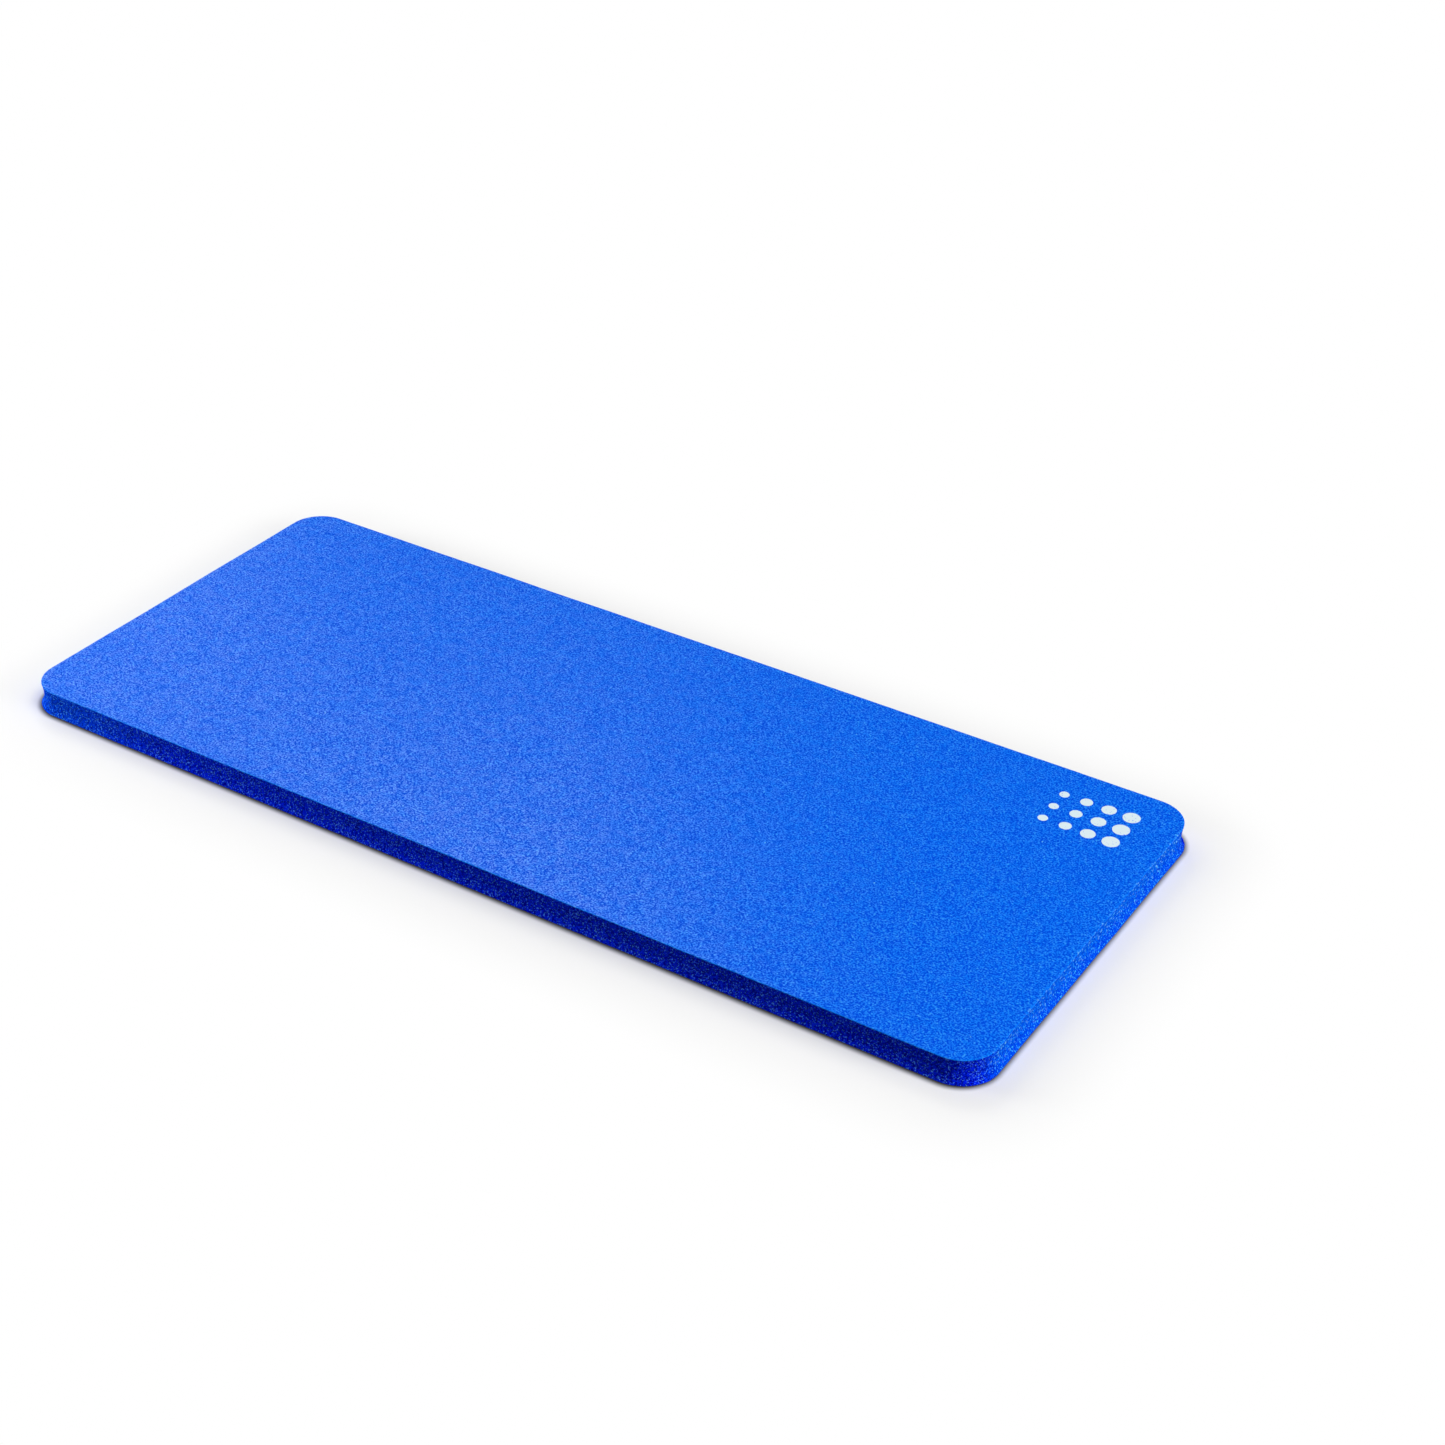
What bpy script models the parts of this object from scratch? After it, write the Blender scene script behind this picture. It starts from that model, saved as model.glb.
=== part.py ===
"""Yoga knee pad: a slab of closed-cell foam, die cut from a sheet, with the sheet's
own dense skin on each face and a small dot print near one corner.

Metres, +Z up. The origin is the middle of the underside, +X runs along the pad
and +Y across it, towards the long side that carries the print.
"""

import math

import bmesh
import bpy

# The pad, measured over its top edge
PAD_LENGTH = 0.600
PAD_WIDTH = 0.250
PAD_THICKNESS = 0.015
CORNER_RADIUS = 0.020

# The cut wall, which springs back from the die: hollow half way up, with a foot that stands out
WALL_HOLLOW = 0.0009
END_FLARE = 0.0017
SIDE_FLARE = 0.0010
FOOT_POWER = 8
TOP_EDGE_ROUND = 0.0004
BASE_EDGE_ROUND = 0.0008

# The sheet's layers, each seated on the next with a hair of clearance
SKIN_THICKNESS = 0.0010
SEAT_GAP = 0.0003

# The dot print, from its margins at the pad's right end and far side
PRINT_END_MARGIN = 0.022
PRINT_SIDE_MARGIN = 0.019
DOT_COLUMNS = 4
DOT_ROWS = 3
LARGE_DOT = 0.0095
SMALL_DOT = 0.0055
DOT_SPACING = 0.0035
INK_THICKNESS = 0.0003

# How finely round stretches are drawn
CORNER_STEPS = 12
EDGE_STEPS = 4
WALL_STEPS = 14
DOT_SIDES = 28
LEAST_STEP = 0.00005
CUT_OVERRUN = 0.001
SHARP_ANGLE = math.radians(40)

# Finishes, as linear colours
SKIN_BLUE = (0.004, 0.118, 0.800)
CUT_FOAM_BLUE = (0.003, 0.075, 0.580)
INK_WHITE = (0.750, 0.890, 0.950)
SKIN_ROUGHNESS = 0.62
FOAM_ROUGHNESS = 0.85
INK_ROUGHNESS = 0.50


def clear_scene():
    for old in list(bpy.data.objects):
        bpy.data.objects.remove(old)


def finish_of(name, colour, roughness):
    """A plain non-metal finish."""
    material = bpy.data.materials.new(name)
    material.use_nodes = True
    shader = material.node_tree.nodes["Principled BSDF"]
    shader.inputs["Base Color"].default_value = (*colour, 1.0)
    shader.inputs["Roughness"].default_value = roughness
    shader.inputs["Metallic"].default_value = 0.0
    material.diffuse_color = (*colour, 1.0)
    return material


def object_from(name, bm, material=None, parent=None):
    """Turns a bmesh into an object with its own mesh, shaded smooth between sharp edges."""
    bmesh.ops.recalc_face_normals(bm, faces=bm.faces)
    mesh = bpy.data.meshes.new(name)
    bm.to_mesh(mesh)
    bm.free()
    mesh.shade_smooth()
    mesh.set_sharp_from_angle(angle=SHARP_ANGLE)
    if material:
        mesh.materials.append(material)
    obj = bpy.data.objects.new(name, mesh)
    obj.parent = parent
    bpy.context.scene.collection.objects.link(obj)
    return obj


def wall_at(height):
    """How far the cut wall stands in from the top edge at a height, and its share of the foot's flare."""
    shoulder = PAD_THICKNESS - TOP_EDGE_ROUND
    if height < BASE_EDGE_ROUND:
        drop = BASE_EDGE_ROUND - height
        return BASE_EDGE_ROUND - math.sqrt(BASE_EDGE_ROUND**2 - drop**2), 1.0
    if height > shoulder:
        rise = min(height - shoulder, TOP_EDGE_ROUND)
        return TOP_EDGE_ROUND - math.sqrt(TOP_EDGE_ROUND**2 - rise**2), 0.0
    up_share = (height - BASE_EDGE_ROUND) / (shoulder - BASE_EDGE_ROUND)
    hollow = 4 * WALL_HOLLOW * up_share * (1 - up_share)
    return hollow, (1 - up_share) ** FOOT_POWER


def wall_heights():
    """Heights from the floor to the top face, close together where the wall's edges are rounded."""
    shoulder = PAD_THICKNESS - TOP_EDGE_ROUND
    heights = []
    for step in range(EDGE_STEPS):
        angle = math.pi / 2 * step / EDGE_STEPS
        heights.append(BASE_EDGE_ROUND * (1 - math.cos(angle)))
    for step in range(WALL_STEPS + 1):
        # The steps shorten towards the foot, where the wall turns fastest
        share = (step / WALL_STEPS) ** 1.5
        heights.append(BASE_EDGE_ROUND + (shoulder - BASE_EDGE_ROUND) * share)
    for step in range(1, EDGE_STEPS + 1):
        angle = math.pi / 2 * step / EDGE_STEPS
        heights.append(shoulder + TOP_EDGE_ROUND * math.sin(angle))
    return heights


def outline_at(height):
    """The pad's rounded outline at a height, anticlockwise seen from above."""
    inset, flare_share = wall_at(height)
    end_radius = CORNER_RADIUS - inset + END_FLARE * flare_share
    side_radius = CORNER_RADIUS - inset + SIDE_FLARE * flare_share
    centre_x = PAD_LENGTH / 2 - CORNER_RADIUS
    centre_y = PAD_WIDTH / 2 - CORNER_RADIUS
    points = []
    for quarter, (side_x, side_y) in enumerate(((1, 1), (-1, 1), (-1, -1), (1, -1))):
        for step in range(CORNER_STEPS + 1):
            angle = math.pi / 2 * (quarter + step / CORNER_STEPS)
            x = side_x * centre_x + end_radius * math.cos(angle)
            y = side_y * centre_y + side_radius * math.sin(angle)
            points.append((x, y, height))
    return points


def make_layer(name, low, high, material, parent):
    """The part of the slab between two heights, lofted through the outlines of its wall."""
    between = [z for z in wall_heights() if low + LEAST_STEP < z < high - LEAST_STEP]
    bm = bmesh.new()
    loops = []
    for height in (low, *between, high):
        ring = [bm.verts.new(point) for point in outline_at(height)]
        loops.append([bm.edges.new((a, b)) for a, b in zip(ring, ring[1:] + ring[:1])])
    for lower, upper in zip(loops, loops[1:]):
        bmesh.ops.bridge_loops(bm, edges=lower + upper)
    for end in (loops[0], loops[-1]):
        bmesh.ops.edgeloop_fill(bm, edges=end)
    return object_from(name, bm, material, parent)


def dot_diameter(column):
    """Dots shrink from the column at the pad's end to the one nearest its middle."""
    share = column / max(DOT_COLUMNS - 1, 1)
    return LARGE_DOT + (SMALL_DOT - LARGE_DOT) * share


def dot_places():
    """(name, x, y, diameter) of each dot. Columns count from the pad's end, rows from its far side."""
    pitch = LARGE_DOT + DOT_SPACING
    first_x = PAD_LENGTH / 2 - PRINT_END_MARGIN - LARGE_DOT / 2
    first_y = PAD_WIDTH / 2 - PRINT_SIDE_MARGIN - LARGE_DOT / 2
    for column in range(DOT_COLUMNS):
        for row in range(DOT_ROWS):
            name = f"print_dot_{column + 1}_{row + 1}"
            yield name, first_x - pitch * column, first_y - pitch * row, dot_diameter(column)


def disc(bm, diameter, low, high, x=0, y=0):
    """A flat-ended round disc between two heights."""
    made = bmesh.ops.create_cone(
        bm,
        cap_ends=True,
        segments=DOT_SIDES,
        radius1=diameter / 2,
        radius2=diameter / 2,
        depth=high - low,
    )
    bmesh.ops.translate(bm, verts=made["verts"], vec=(x, y, (low + high) / 2))


def make_dots(parent):
    """The ink, one disc a dot, flush with the top face."""
    material = finish_of("pale_ink", INK_WHITE, INK_ROUGHNESS)
    for name, x, y, diameter in dot_places():
        bm = bmesh.new()
        disc(bm, diameter, -INK_THICKNESS, 0)
        dot = object_from(name, bm, material.copy(), parent)
        dot.location = (x, y, PAD_THICKNESS)


def cut_print_pockets(skin, parent):
    """Sinks a shallow pocket into the top skin under each dot, with clearance round and below the ink."""
    bm = bmesh.new()
    floor = PAD_THICKNESS - INK_THICKNESS - SEAT_GAP
    for _, x, y, diameter in dot_places():
        disc(bm, diameter + 2 * SEAT_GAP, floor, PAD_THICKNESS + CUT_OVERRUN, x, y)
    cutter = object_from("print_pockets", bm, parent=parent)
    cutter.hide_render = True
    cutter.display_type = "WIRE"
    cut = skin.modifiers.new("print_pockets", "BOOLEAN")
    cut.operation = "DIFFERENCE"
    cut.solver = "EXACT"
    cut.object = cutter


def make_pad():
    """The three layers of the slab, bottom to top, and the print on it."""
    pad = bpy.data.objects.new("knee_pad", None)
    bpy.context.scene.collection.objects.link(pad)
    skin_blue = finish_of("skin_blue", SKIN_BLUE, SKIN_ROUGHNESS)
    cut_foam = finish_of("cut_foam_blue", CUT_FOAM_BLUE, FOAM_ROUGHNESS)
    core_low = SKIN_THICKNESS + SEAT_GAP
    core_high = PAD_THICKNESS - SKIN_THICKNESS - SEAT_GAP
    make_layer("bottom_skin", 0, SKIN_THICKNESS, skin_blue.copy(), pad)
    make_layer("foam_core", core_low, core_high, cut_foam, pad)
    top = make_layer("top_skin", core_high + SEAT_GAP, PAD_THICKNESS, skin_blue, pad)
    cut_print_pockets(top, pad)
    make_dots(pad)


clear_scene()
make_pad()
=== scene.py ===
"""Looks of a yoga knee pad: a die-cut slab of blue foam with grained skins and a small dot print."""
import math

import bpy
import numpy as np
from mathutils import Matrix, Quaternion, Vector, noise


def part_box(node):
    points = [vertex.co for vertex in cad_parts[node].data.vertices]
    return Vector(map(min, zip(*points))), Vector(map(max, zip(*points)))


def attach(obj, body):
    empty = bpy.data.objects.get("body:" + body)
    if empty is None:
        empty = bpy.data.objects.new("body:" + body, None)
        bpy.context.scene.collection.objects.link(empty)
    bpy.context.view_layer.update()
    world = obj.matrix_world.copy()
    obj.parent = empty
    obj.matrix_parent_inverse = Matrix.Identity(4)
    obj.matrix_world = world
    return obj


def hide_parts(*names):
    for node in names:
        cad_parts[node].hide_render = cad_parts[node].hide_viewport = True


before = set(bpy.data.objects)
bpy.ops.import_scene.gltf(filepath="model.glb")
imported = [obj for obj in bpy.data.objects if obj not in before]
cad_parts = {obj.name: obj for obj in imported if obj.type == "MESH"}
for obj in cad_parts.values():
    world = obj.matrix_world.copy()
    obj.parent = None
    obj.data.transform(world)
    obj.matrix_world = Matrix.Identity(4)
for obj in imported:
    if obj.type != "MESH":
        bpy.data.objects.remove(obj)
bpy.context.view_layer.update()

# Foam body
# The middle of the slab is closed-cell nitrile foam, blown as one sheet with its skins and die cut to a
# rounded oblong. The knife opens the cells along the cut, and the wall springs back hollow over its foot.
MM = 0.001
core_low, core_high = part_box("foam_core")
top_low, top_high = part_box("top_skin")
LENGTH = top_high.x - top_low.x
WIDTH = top_high.y - top_low.y
THICKNESS = top_high.z
UPPER_SEAM = (core_high.z + top_low.z) / 2
LOWER_SEAM = (core_low.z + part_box("bottom_skin")[1].z) / 2
CORNER_RADIUS = 20 * MM
CORNER_X = LENGTH / 2 - CORNER_RADIUS
CORNER_Y = WIDTH / 2 - CORNER_RADIUS

WALL_HOLLOW = 0.9 * MM
END_FLARE = 1.7 * MM
SIDE_FLARE = 1.0 * MM
FOOT_POWER = 8
TOP_EDGE_ROUND = 0.4 * MM
BASE_EDGE_ROUND = 0.8 * MM
SHOULDER = THICKNESS - TOP_EDGE_ROUND

CORNER_CELLS = 10
LONG_CELLS = 280
SHORT_CELLS = 105
STEPS_PER_CELL = 4
WALL_ROWS = 26


def wall_at(height):
    """How far the cut stands in from the top edge at a height, and its share of the foot's flare."""
    if height < BASE_EDGE_ROUND:
        drop = BASE_EDGE_ROUND - height
        return BASE_EDGE_ROUND - math.sqrt(BASE_EDGE_ROUND**2 - drop**2), 1.0
    if height > SHOULDER:
        rise = min(height - SHOULDER, TOP_EDGE_ROUND)
        return TOP_EDGE_ROUND - math.sqrt(TOP_EDGE_ROUND**2 - rise**2), 0.0
    up_share = (height - BASE_EDGE_ROUND) / (SHOULDER - BASE_EDGE_ROUND)
    return 4 * WALL_HOLLOW * up_share * (1 - up_share), (1 - up_share) ** FOOT_POWER


def reach_at(height):
    """How far the wall stands out from a corner's centre, towards the pad's end and towards its side."""
    inset, flare_share = wall_at(height)
    return CORNER_RADIUS - inset + flare_share * np.array([END_FLARE, SIDE_FLARE])


def rim_stations():
    """Stations round the rim, anticlockwise: the point that each bears out from, and the way it faces."""
    corners = np.array([(1, 1), (-1, 1), (-1, -1), (1, -1)]) * (CORNER_X, CORNER_Y)
    seats, ways = [], []
    for quarter, corner in enumerate(corners):
        turn = np.arange(2 * CORNER_CELLS * STEPS_PER_CELL) / (2 * CORNER_CELLS * STEPS_PER_CELL)
        angle = math.pi / 2 * (quarter + turn)
        seats.append(np.tile(corner, (len(turn), 1)))
        ways.append(np.column_stack([np.cos(angle), np.sin(angle)]))
        run_steps = (SHORT_CELLS if quarter % 2 else LONG_CELLS) * STEPS_PER_CELL
        along = np.arange(run_steps)[:, None] / run_steps
        seats.append(corner + along * (corners[(quarter + 1) % 4] - corner))
        facing = math.pi / 2 * (quarter + 1)
        ways.append(np.tile((math.cos(facing), math.sin(facing)), (run_steps, 1)))
    return np.concatenate(seats), np.concatenate(ways)


SEATS, WAYS = rim_stations()
STATIONS = len(SEATS)

# The cut wanders a little, its cells lie open, and the upper face swells and sinks very slightly
WANDER = 0.20 * MM
WANDER_LENGTH = 45 * MM
RIPPLE = 0.07 * MM
RIPPLE_LENGTH = 7 * MM
SWELL = 0.09 * MM
SWELL_LENGTH = 50 * MM
CELL = 1.25 * MM
CELL_DEPTH = 0.42 * MM
CELL_MIDDLE = 0.6
CELLS_SHOW = ((0.2 * MM, 0.3), (1.5 * MM, 1.0), (THICKNESS - 1.0 * MM, 1.0), (THICKNESS - 0.1 * MM, 0.0))


def uneven(points, length):
    """Smooth unevenness between -1 and 1 at each point, in waves of about that length."""
    return np.array([noise.noise(point) for point in (points / length).tolist()])


def opened(points):
    """How far into an opened cell each point of the cut lies, from 0 on a cell's wall to 1 in its middle."""
    gaps = []
    for point in (points / CELL).tolist():
        distances = noise.voronoi(point)[0]
        gaps.append(distances[1] - distances[0])
    heights, shares = zip(*CELLS_SHOW)
    return np.clip(np.array(gaps) / CELL_MIDDLE, 0, 1) * np.interp(points[:, 2], heights, shares)


def weathered(points, outward):
    """Points of the ideal slab, moved as cut foam lies. Outward is each one's way out, times its share."""
    drift = WANDER * uneven(points, WANDER_LENGTH) + RIPPLE * uneven(points, RIPPLE_LENGTH)
    lift = SWELL * uneven(points * (1, 1, 0), SWELL_LENGTH) * (points[:, 2] / THICKNESS) ** 2
    return points + np.column_stack([outward * drift[:, None], lift])


def face_points(height, reach):
    """A grid over one face. Past the corners' centres, its square rings turn into rounded ones."""
    out = np.arange(1, CORNER_CELLS + 1) / CORNER_CELLS
    shares, seats = [], []
    for half, cells in ((CORNER_X, LONG_CELLS), (CORNER_Y, SHORT_CELLS)):
        shares.append(np.concatenate([-out[::-1], np.zeros(cells + 1), out]))
        run = np.linspace(-half, half, cells + 1)
        seats.append(np.concatenate([np.full(CORNER_CELLS, -half), run, np.full(CORNER_CELLS, half)]))
    past_x, past_y = np.meshgrid(*shares, indexing="ij")
    seat_x, seat_y = np.meshgrid(*seats, indexing="ij")
    ring = np.maximum(abs(past_x), abs(past_y))
    turn = math.pi / 4 * np.minimum(abs(past_x), abs(past_y)) / np.maximum(ring, 1 / CORNER_CELLS)
    ends = abs(past_x) >= abs(past_y)
    way_x = np.sign(past_x) * ring * np.where(ends, np.cos(turn), np.sin(turn))
    way_y = np.sign(past_y) * ring * np.where(ends, np.sin(turn), np.cos(turn))
    level = np.full(ring.shape, height)
    points = np.stack([seat_x + way_x * reach[0], seat_y + way_y * reach[1], level], axis=-1)
    return points.reshape(-1, 3), np.stack([way_x, way_y], axis=-1).reshape(-1, 2)


def face_rim(first):
    """The grid's outermost points, from the rim's first station round, as indices."""
    last_x, last_y = LONG_CELLS + 2 * CORNER_CELLS, SHORT_CELLS + 2 * CORNER_CELLS
    start = SHORT_CELLS + CORNER_CELLS
    loop = [(last_x, j) for j in range(start, last_y)]
    loop += [(i, last_y) for i in range(last_x, 0, -1)]
    loop += [(0, j) for j in range(last_y, 0, -1)]
    loop += [(i, 0) for i in range(last_x)]
    loop += [(last_x, j) for j in range(start)]
    return [first + i * (last_y + 1) + j for i, j in loop]


def face_loops(rim, first):
    """One side's faces, as indices: a band from the wall's ring in to the grid's rim, then the grid."""
    inner = face_rim(first)
    loops = []
    for m, point in enumerate(inner):
        outer = [rim[(m * STEPS_PER_CELL + step) % STATIONS] for step in range(STEPS_PER_CELL + 1)]
        loops.append([*outer, inner[(m + 1) % len(inner)], point])
    columns = SHORT_CELLS + 2 * CORNER_CELLS + 1
    for i in range(LONG_CELLS + 2 * CORNER_CELLS):
        for j in range(columns - 1):
            here = first + i * columns + j
            loops.append([here, here + columns, here + columns + 1, here + 1])
    return loops


FACE_MARGIN = 1.0 * MM


def slab_layer(name, heights, finishes, face=0):
    """A layer of the slab, lofted through its wall. Face is 1 or -1 where its upper or lower side shows.

    The last finish is the cut's, and the first is that of a side that shows.
    """
    rings = [np.column_stack([SEATS + WAYS * reach_at(z), np.full(STATIONS, z)]) for z in heights]
    points = np.concatenate(rings)
    outward = np.tile(WAYS, (len(heights), 1))
    depth = opened(points)
    points = weathered(points, outward)
    points[:, :2] -= outward * (CELL_DEPTH * (depth - depth.mean()))[:, None]
    faces, slots = [], []
    cut_slot = len(finishes) - 1
    for row, height in enumerate(heights[:-1]):
        skin = face and (height >= SHOULDER or heights[row + 1] <= 0)
        for k in range(STATIONS):
            after = (k + 1) % STATIONS
            low, high = row * STATIONS, (row + 1) * STATIONS
            faces.append((low + k, low + after, high + after, high + k))
            slots.append(0 if skin else cut_slot)
    end_rows = {-1: 0, 1: len(heights) - 1}
    sharp_faces = []
    for side, row in end_rows.items():
        rim = [row * STATIONS + k for k in range(STATIONS)]
        if side != face:
            sharp_faces.append(len(faces))
            faces.append(rim[::side])
            slots.append(cut_slot)
            continue
        loops = [loop[::side] for loop in face_loops(rim, len(points))]
        faces += loops
        slots += [0] * len(loops)
        grid, ways = face_points(heights[row], reach_at(heights[row]) - FACE_MARGIN)
        points = np.concatenate([points, weathered(grid, ways)])
        depth = np.concatenate([depth, np.zeros(len(grid))])
    mesh = bpy.data.meshes.new(name)
    mesh.from_pydata(points.tolist(), [], faces)
    mesh.polygons.foreach_set("material_index", slots)
    mesh.shade_smooth()
    for index in sharp_faces:
        for corner in mesh.polygons[index].loop_indices:
            mesh.edges[mesh.loops[corner].edge_index].use_edge_sharp = True
    mesh.attributes.new("opened", "FLOAT", "POINT").data.foreach_set("value", depth.astype(np.float32))
    for finish in finishes:
        mesh.materials.append(finish)
    made = bpy.data.objects.new(name, mesh)
    bpy.context.scene.collection.objects.link(made)
    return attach(made, "root")


class Wire:
    """One socket in a shader. Sums of wires add Math nodes, and any other kind of node comes from node()."""

    def __init__(self, tree, socket=None):
        self.tree = tree
        self.socket = socket

    def node(self, kind, settings, feeds, output=0):
        """Adds a node, sets it up, then gives its sockets their values or wires."""
        made = self.tree.nodes.new(kind)
        for setting, value in settings.items():
            setattr(made, setting, value)
        for name, value in feeds.items():
            if isinstance(value, Wire):
                self.tree.links.new(value.socket, made.inputs[name])
            else:
                made.inputs[name].default_value = value
        return Wire(self.tree, made.outputs[output]) if len(made.outputs) else None

    def math(self, operation, *values):
        return self.node("ShaderNodeMath", {"operation": operation}, dict(enumerate(values)))

    def __add__(self, other):
        return self.math("ADD", self, other)

    def __sub__(self, other):
        return self.math("SUBTRACT", self, other)

    def __rsub__(self, other):
        return self.math("SUBTRACT", other, self)

    def __mul__(self, other):
        return self.math("MULTIPLY", self, other)

    __radd__ = __add__
    __rmul__ = __mul__

    def from_to(self, low, high):
        """0 where the wire is at low, 1 where it is at high, and smooth between."""
        ends = {"Value": self, "From Min": low, "From Max": high}
        return self.node("ShaderNodeMapRange", {"interpolation_type": "SMOOTHSTEP"}, ends)

    def tint(self, low, high):
        """One colour where the wire is 0, turning to another where it is 1."""
        return self.node("ShaderNodeMix", {"data_type": "RGBA"}, {0: self, 6: low, 7: high}, 2)

    def along(self, axis):
        """The wire's place along one axis."""
        return self.node("ShaderNodeSeparateXYZ", {}, {"Vector": self}, axis)

    def cloud(self, size, detail=1.0, fineness=0.5):
        """Soft noise over the places that the wire carries, in lumps of that size with finer ones on them."""
        feeds = {"Vector": self, "Scale": 1 / size, "Detail": detail, "Roughness": fineness}
        return self.node("ShaderNodeTexNoise", {}, feeds, "Fac")

    def cells(self, size):
        """Cells of that size over the places that the wire carries, from 0 at the middle of each."""
        return self.node("ShaderNodeTexVoronoi", {}, {"Vector": self, "Scale": 1 / size}, "Distance")


def new_finish(name):
    """An empty material, and a first wire that carries each point's place on the pad in metres."""
    material = bpy.data.materials.new(name)
    material.use_nodes = True
    material.node_tree.nodes.clear()
    return material, Wire(material.node_tree).node("ShaderNodeTexCoord", {}, {}, "Object")


def close_finish(place, feeds, height, depth):
    """The finish's shader, with its relief as a bump of that depth."""
    normal = place.node("ShaderNodeBump", {}, {"Height": height, "Distance": depth})
    shader = place.node("ShaderNodeBsdfPrincipled", {}, {**feeds, "Normal": normal})
    place.node("ShaderNodeOutputMaterial", {}, {"Surface": shader})


# Cut cells are deep, and they and the grit's pits are painted darker as shade in them. Pale flecks on the
# walls between them are painted glints. The pad's ends, and the left part of its long sides, are painted
# paler as light that falls on them, with painted shade towards the ends' foot, and the ends are speckled with
# pale torn cells and painted glints, most of all along the upper edge.
CUT_BLUE = (0.000, 0.016, 0.900, 1)
CELL_SHADE_BLUE = (0.000, 0.001, 0.400, 1)
CUT_GLINT = (0.075, 0.250, 1.000, 1)
LIT_END_BLUE = (0.000, 0.125, 0.920, 1)
LIT_END_CELL_SHADE = (0.000, 0.050, 0.690, 1)
LIT_END_GLINT = (0.040, 0.430, 1.000, 1)
TORN_AND_GLINT_PALE = (0.220, 0.680, 1.000, 1)
CUT_ROUGHNESS = 0.85
CUT_SPECULAR = 0.0
CUT_SHEEN = {"Sheen Weight": 0.12, "Sheen Roughness": 0.35, "Sheen Tint": (0.03, 0.40, 1.0, 1)}
CUT_RELIEF = 0.50 * MM
GRIT = 1.4 * MM
GRIT_FINENESS = 0.9
PITTED = (0.58, 0.38)
HOLLOW_SHADE = 0.3
FOOT_SHADE = 0.55
FOOT_HEIGHT = (9 * MM, 2 * MM)
SHADED = (0.1, 1.1)
FLECK = 0.8 * MM
FLECKED = (0.57, 0.69)
ENDS = (CORNER_Y + 14 * MM, CORNER_Y - 7 * MM)
LEFT_LIT = (-LENGTH / 2 + 110 * MM, -LENGTH / 2 + 10 * MM)
LEFT_LIT_SHARE = 0.45
TORN = 2.4 * MM
TORN_CORE = (0.32, 0.19)
TORN_HEIGHT = (-1 * MM, 14 * MM)
TORN_PATCH = 14 * MM
TORN_THINS = (0.35, 0.6)
LEAST_TORN = 0.4


def ends_at(place):
    """How far a place lies on the pad's ends: wholly on them, not at all on its long sides."""
    across = place.along("Y")
    return across.math("ABSOLUTE", across).from_to(*ENDS)


def torn_and_glint_at(place):
    """Pale torn cells with painted glints on the pad's ends, in patches, thickest towards the upper edge."""
    cores = place.cells(TORN).from_to(*TORN_CORE)
    upward = place.along("Z").from_to(*TORN_HEIGHT)
    patchy = place.cloud(TORN_PATCH).from_to(*TORN_THINS) * (1 - LEAST_TORN) + LEAST_TORN
    return cores * ends_at(place) * upward * patchy


def cut_foam_finish():
    cut_foam, place = new_finish("cut_foam")
    # The ends and the left part of the long sides are painted paler, as light that falls on them.
    lit_paler = ends_at(place) + place.along("X").from_to(*LEFT_LIT) * LEFT_LIT_SHARE
    # Painted shade: darker in the opened cells, in the grit's pits and towards the foot of the ends.
    hollow = place.node("ShaderNodeAttribute", {"attribute_name": "opened"}, {}, "Fac")
    end_foot_shade = ends_at(place) * place.along("Z").from_to(*FOOT_HEIGHT)
    grit = place.cloud(GRIT, fineness=GRIT_FINENESS)
    painted_shade = (hollow * HOLLOW_SHADE + end_foot_shade * FOOT_SHADE + grit.from_to(*PITTED)).from_to(*SHADED)
    ground = painted_shade.tint(lit_paler.tint(CUT_BLUE, LIT_END_BLUE), lit_paler.tint(CELL_SHADE_BLUE, LIT_END_CELL_SHADE))
    # Pale flecks on the walls between the cells are painted glints.
    fleck = place.cloud(FLECK).from_to(*FLECKED)
    flecked = fleck.tint(ground, lit_paler.tint(CUT_GLINT, LIT_END_GLINT))
    # Pale specks on the ends are torn cells with painted glints on them.
    feeds = {
        "Base Color": torn_and_glint_at(place).tint(flecked, TORN_AND_GLINT_PALE),
        "Roughness": CUT_ROUGHNESS,
        "Specular IOR Level": CUT_SPECULAR,
        **CUT_SHEEN,
    }
    close_finish(place, feeds, grit, CUT_RELIEF)
    return cut_foam


cut_foam = cut_foam_finish()
foam_body = slab_layer("foam_body", np.linspace(LOWER_SEAM, UPPER_SEAM, WALL_ROWS + 1), [cut_foam])
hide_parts("foam_core")

# Skins
# Each side of the sheet has a dense skin of its own, formed against the mould as the foam rose. It is one
# with the foam, matt and finely grained like pressed leather, with pores painted darker as shade in them and
# glints painted on its pebbles. Its cut edge shows in the wall, a painted highlight runs along its rim, with
# torn cells and painted glints along it at the pad's ends, and a few specks of dust lie on it.
SKIN_BLUE = (0.001, 0.206, 1.000, 1)
PORE_SHADE_BLUE = (0.000, 0.070, 0.780, 1)
GLINT_BLUE = (0.060, 0.430, 1.000, 1)
RIM_HIGHLIGHT_BLUE = (0.002, 0.250, 1.000, 1)
DUST = (0.25, 0.78, 1.00, 1)
SKIN_ROUGHNESS = 0.55
PORE_ROUGHNESS = 0.80
SKIN_SPECULAR = 0.02
SKIN_COAT = {"Coat Roughness": 0.28, "Coat IOR": 1.36}
SKIN_RELIEF = 0.30 * MM
GRAIN_RELIEF_SHARE = 0.5
GRAIN = 0.95 * MM
RAISED = (0.38, 0.60)
GLINTS = (0.62, 0.76)
MOTTLE = 4.2 * MM
POLISH_THINS = (0.25, 0.75)
LEAST_POLISH = 0.5
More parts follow.
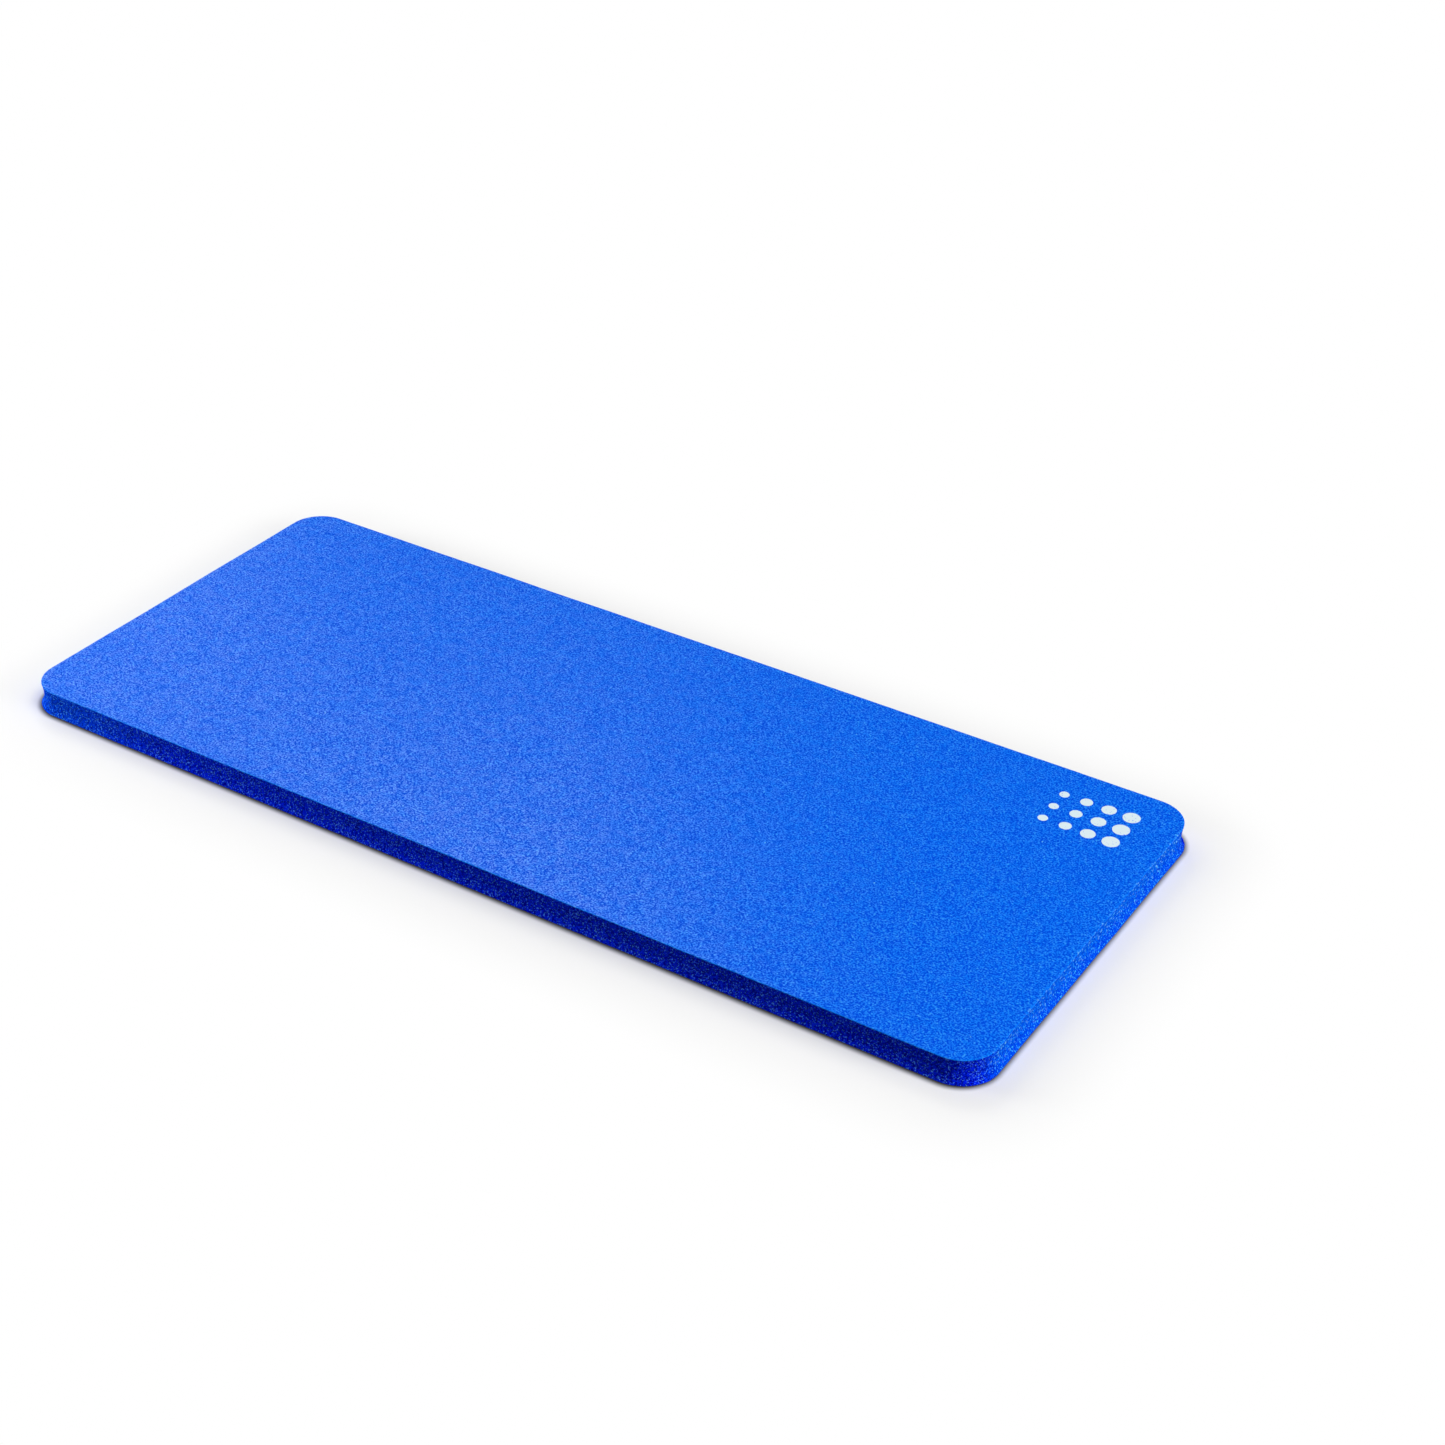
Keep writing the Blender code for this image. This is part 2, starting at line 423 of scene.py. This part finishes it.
RIM_BAND = (-1.4 * MM, -0.1 * MM)
RIM_HIGHLIGHT_SHARE = 0.3
RIM_TORN_AND_GLINT_SHARE = 0.5
DUST_SPACING = 16 * MM
DUST_CORE = (0.025, 0.018)
CORNER_SEAT = (CORNER_X, CORNER_Y, 2 * THICKNESS)
LEAST_PLACE = (-LENGTH, -LENGTH, 0.75 * MM)
EDGE_STEPS = 4
SKIN_ROWS = 2


def grain_of(place):
    """The skin's grain, lower in its pores and higher on its pebbles, about 0.5 on the whole."""
    return place.cloud(GRAIN)


def past_edge(place):
    """How far a place lies outside the pad's rounded outline, in metres, and below 0 inside it."""
    past = place
    for operation, amount in (("ABSOLUTE", (0, 0, 0)), ("SUBTRACT", CORNER_SEAT), ("MAXIMUM", (0, 0, 0))):
        past = place.node("ShaderNodeVectorMath", {"operation": operation}, {0: past, 1: amount})
    return place.node("ShaderNodeVectorMath", {"operation": "LENGTH"}, {0: past}, "Value") - CORNER_RADIUS


def skin_finish():
    skin, place = new_finish("foam_skin")
    # The noise fades on the plane z = 0, where the underside lies, so its grain is taken from just above
    place = place.node("ShaderNodeVectorMath", {"operation": "MAXIMUM"}, {0: place, 1: LEAST_PLACE})
    grain = grain_of(place)
    # The pores are painted darker as shade in them, and the pebbles' tops carry painted glints.
    raised = grain.from_to(*RAISED)
    mottle = place.cloud(MOTTLE, detail=0.0)
    grained = grain.from_to(*GLINTS).tint(raised.tint(PORE_SHADE_BLUE, SKIN_BLUE), GLINT_BLUE)
    # A painted highlight along the upper rim, and torn cells with painted glints along it at the ends.
    rim_band = past_edge(place).from_to(*RIM_BAND)
    rim_torn_and_glint = rim_band * torn_and_glint_at(place) * RIM_TORN_AND_GLINT_SHARE
    rim_highlight_and_torn = rim_torn_and_glint.tint((rim_band * RIM_HIGHLIGHT_SHARE).tint(grained, RIM_HIGHLIGHT_BLUE), TORN_AND_GLINT_PALE)
    patchy = mottle.from_to(*POLISH_THINS) * (1 - LEAST_POLISH) + LEAST_POLISH
    feeds = {
        "Base Color": place.cells(DUST_SPACING).from_to(*DUST_CORE).tint(rim_highlight_and_torn, DUST),
        "Roughness": raised * (SKIN_ROUGHNESS - PORE_ROUGHNESS) + PORE_ROUGHNESS,
        "Specular IOR Level": SKIN_SPECULAR,
        "Coat Weight": raised * patchy,
        **SKIN_COAT,
    }
    close_finish(place, feeds, grain * GRAIN_RELIEF_SHARE + mottle, SKIN_RELIEF)
    return skin


foam_skin = skin_finish()
quarter_turn = np.linspace(0, math.pi / 2, EDGE_STEPS + 1)
lip = SHOULDER + TOP_EDGE_ROUND * np.sin(quarter_turn)
rise = np.linspace(UPPER_SEAM, SHOULDER, SKIN_ROWS, endpoint=False)
top = slab_layer("top_face_skin", [*rise, *lip], [foam_skin, cut_foam], 1)
base = BASE_EDGE_ROUND * (1 - np.cos(quarter_turn))
base = base[base < LOWER_SEAM]
under = slab_layer("under_face_skin", [*base, LOWER_SEAM], [foam_skin, cut_foam], -1)
for skin, node in ((top, "top_skin"), (under, "bottom_skin")):
    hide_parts(node)

# Print
# A block of pale dots, screen printed on the upper skin near one corner. The ink is a thin film that
# follows the grain, stands up at its edge by a few hundredths and misses the deepest pores.
INK = (0.760, 0.900, 0.960, 1)
INK_ROUGHNESS = 0.5
INK_SPECULAR = 0.3
INK_RELIEF = 0.05 * MM
INK_FILM = 0.06 * MM
INK_ROOT = 0.15 * MM
INK_RAGGED = 0.10 * MM
INK_RAGGED_LENGTH = 0.9 * MM
INK_SKIP = 0.8 * MM
INK_SKIPPED = (0.74, 0.68)
INK_SHARP = math.radians(60)
DOT_SIDES = 96
DOT_RINGS = (1.0, 1.0, 0.98, 0.94, 0.75, 0.5, 0.25)
DOT_RISE = (-INK_ROOT, 0.6 * INK_FILM, 0.9 * INK_FILM, INK_FILM, INK_FILM, INK_FILM, INK_FILM)


def ink_finish():
    ink, place = new_finish("print_ink")
    grain = grain_of(place)
    skipped = (grain + place.cloud(INK_SKIP, detail=2.0)).from_to(*INK_SKIPPED)
    feeds = {
        "Base Color": skipped.tint(INK, SKIN_BLUE),
        "Roughness": INK_ROUGHNESS,
        "Specular IOR Level": INK_SPECULAR,
    }
    close_finish(place, feeds, grain, INK_RELIEF)
    return ink


def ink_dot(node, ink):
    """A film of ink over the CAD dot's place, ragged at its rim and closed underneath."""
    low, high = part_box(node)
    middle, radius = (low + high) / 2, (high.x - low.x) / 2
    angle = np.arange(DOT_SIDES) * 2 * math.pi / DOT_SIDES
    around = np.column_stack([np.cos(angle), np.sin(angle)])
    rim = around * radius + (middle.x, middle.y)
    waver = uneven(np.column_stack([rim, np.zeros(DOT_SIDES)]), INK_RAGGED_LENGTH)
    ragged = 1 + INK_RAGGED / radius * waver
    rings = []
    for share, rise in zip(DOT_RINGS, DOT_RISE):
        spread = around * (radius * share * ragged)[:, None] + (middle.x, middle.y)
        rings.append(np.column_stack([spread, np.full(DOT_SIDES, THICKNESS + rise)]))
    crown = np.array([[middle.x, middle.y, THICKNESS + INK_FILM]])
    points = np.concatenate([*rings, crown])
    points = weathered(points, np.zeros((len(points), 2)))
    faces = [list(range(DOT_SIDES))[::-1]]
    for row in range(len(DOT_RINGS) - 1):
        for k in range(DOT_SIDES):
            after = (k + 1) % DOT_SIDES
            low_row, high_row = row * DOT_SIDES, (row + 1) * DOT_SIDES
            faces.append([low_row + k, low_row + after, high_row + after, high_row + k])
    last = (len(DOT_RINGS) - 1) * DOT_SIDES
    faces += [[last + k, last + (k + 1) % DOT_SIDES, len(points) - 1] for k in range(DOT_SIDES)]
    mesh = bpy.data.meshes.new(node)
    mesh.from_pydata(points.tolist(), [], faces)
    mesh.shade_smooth()
    mesh.set_sharp_from_angle(angle=INK_SHARP)
    mesh.materials.append(ink)
    dot = bpy.data.objects.new(node.replace("print", "ink"), mesh)
    bpy.context.scene.collection.objects.link(dot)
    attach(dot, "root")
    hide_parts(node)


print_ink = ink_finish()
for node in sorted(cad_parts):
    if node.startswith("print_dot"):
        ink_dot(node, print_ink)

# Studio floor
# A pale sweep that runs level under the pad and turns up far behind it. Close to the pad it takes the shadow,
# with a dark contact shadow painted right at the pad's foot, and further out it is plain white to the camera
# and to gloss.
FLOOR_DROP = 0.05 * MM
SWEEP_PROFILE = ((0.4, 0.0), (1.2, 0.0), (4.5, 0.0), (5.0, 0.07), (5.35, 0.25), (5.6, 0.6), (5.7, 2.4))
SWEEP_SIDES = 96
FLOOR_PALE = (0.26, 0.26, 0.26, 1)
FLOOR_WHITE = (0.96, 0.96, 0.95, 1)
WHITE = (1, 1, 1, 1)
FLOOR_CONTACT_SHADOW = (0.04, 0.04, 0.05, 1)
FLOOR_ROUGHNESS = 0.9
CONTACT_SHADOW_REACH = (0.5 * MM, 5 * MM)
SHADOW_REACH = (-6 * MM, 60 * MM)


def sweep_finish():
    sweep, place = new_finish("white_sweep")
    seen = 0
    for ray in ("Is Camera Ray", "Is Glossy Ray", "Is Transmission Ray"):
        seen = seen + place.node("ShaderNodeLightPath", {}, {}, ray)
    away = past_edge(place)
    far = away.from_to(*SHADOW_REACH)
    # A dark contact shadow is painted on the floor right at the pad's foot.
    floor_with_contact_shadow = away.from_to(*CONTACT_SHADOW_REACH).tint(FLOOR_CONTACT_SHADOW, FLOOR_WHITE)
    feeds = {
        "Base Color": seen.tint(FLOOR_PALE, floor_with_contact_shadow),
        "Roughness": FLOOR_ROUGHNESS,
        "Specular IOR Level": 0.0,
    }
    lit = place.node("ShaderNodeBsdfPrincipled", {}, feeds)
    white = place.node("ShaderNodeEmission", {}, {"Color": WHITE})
    lift = seen * far
    surface = place.node("ShaderNodeMixShader", {}, {0: lift, 1: lit, 2: white})
    place.node("ShaderNodeOutputMaterial", {}, {"Surface": surface})
    return sweep


def studio_sweep():
    points, faces = [(0, 0, -FLOOR_DROP)], []
    for radius, height in SWEEP_PROFILE:
        for side in range(SWEEP_SIDES):
            angle = 2 * math.pi * side / SWEEP_SIDES
            points.append((radius * math.cos(angle), radius * math.sin(angle), height - FLOOR_DROP))
    for side in range(SWEEP_SIDES):
        after = (side + 1) % SWEEP_SIDES
        faces.append((0, 1 + side, 1 + after))
        for row in range(len(SWEEP_PROFILE) - 1):
            inner, outer = 1 + row * SWEEP_SIDES, 1 + (row + 1) * SWEEP_SIDES
            faces.append((inner + side, outer + side, outer + after, inner + after))
    mesh = bpy.data.meshes.new("studio_sweep")
    mesh.from_pydata(points, [], faces)
    mesh.shade_smooth()
    mesh.materials.append(sweep_finish())
    sweep = bpy.data.objects.new("studio_sweep", mesh)
    bpy.context.scene.collection.objects.link(sweep)


studio_sweep()

# Lamps
# Five soft boxes and an even dome. Each is given as its share of the light on a level white face, which
# together come to one, so that a colour on the pad's upper face renders as it is written. Two boxes lay the
# pale haze on that face, and the others stay out of gloss, or low views would show their glare.
SOFT_BOXES = {
    "back_box": {"azimuth": 130, "elevation": 42, "distance": 2.6, "size": 0.57, "share": 0.06},
    "left_back_box": {"azimuth": 155, "elevation": 33, "distance": 2.0, "size": 1.1, "share": 0.105},
    "left_box": {"azimuth": 204, "elevation": 12, "distance": 1.1, "size": 0.4, "share": 0.12},
    "right_box": {"azimuth": 1, "elevation": 15, "distance": 2.2, "size": 0.9, "share": 0.165},
    "over_box": {"azimuth": 0, "elevation": 70, "distance": 2.2, "size": 1.2, "share": 0.48},
}
IN_GLOSS = ("back_box", "left_back_box")
DOME_SHARE = 0.07


def soft_box(name, azimuth, elevation, distance, size, share):
    lamp = bpy.data.lights.new(name, "AREA")
    lamp.shape = "SQUARE"
    lamp.size = size
    lamp.energy = share * (math.pi * distance) ** 2 / math.sin(math.radians(elevation))
    box = bpy.data.objects.new(name, lamp)
    level = math.cos(math.radians(elevation))
    way = Vector((
        level * math.cos(math.radians(azimuth)),
        level * math.sin(math.radians(azimuth)),
        math.sin(math.radians(elevation)),
    ))
    box.visible_glossy = name in IN_GLOSS
    box.location = way * distance
    box.rotation_euler = way.to_track_quat("Z", "Y").to_euler()
    bpy.context.scene.collection.objects.link(box)


for name, setting in SOFT_BOXES.items():
    soft_box(name, **setting)

dome = bpy.data.worlds.new("dome")
dome.use_nodes = True
dome.node_tree.nodes["Background"].inputs["Color"].default_value = WHITE
dome.node_tree.nodes["Background"].inputs["Strength"].default_value = DOME_SHARE
bpy.context.scene.world = dome

# Camera
# It stands at the photograph's angle: near the pad's right end, looking down along it with a slight roll.
# Its place, aim, roll and lens come from a fit to the pad's corners and edges.
CAMERA_AT = Vector((0.66357, -0.95071, 0.77471))
LOOKS_AT = Vector((0.03335, 0.07915, 0))
CAMERA_ROLL = math.radians(1.422)
LENS = 63.385
SENSOR = 36.0

camera_data = bpy.data.cameras.new("camera")
camera_data.lens = LENS
camera_data.sensor_width = SENSOR
camera = bpy.data.objects.new("camera", camera_data)
bpy.context.scene.collection.objects.link(camera)
camera.rotation_mode = "QUATERNION"
camera.location = CAMERA_AT
level_view = (LOOKS_AT - CAMERA_AT).to_track_quat("-Z", "Y")
camera.rotation_quaternion = level_view @ Quaternion((0, 0, 1), CAMERA_ROLL)
bpy.context.scene.camera = camera
bpy.context.scene.view_settings.view_transform = "Standard"
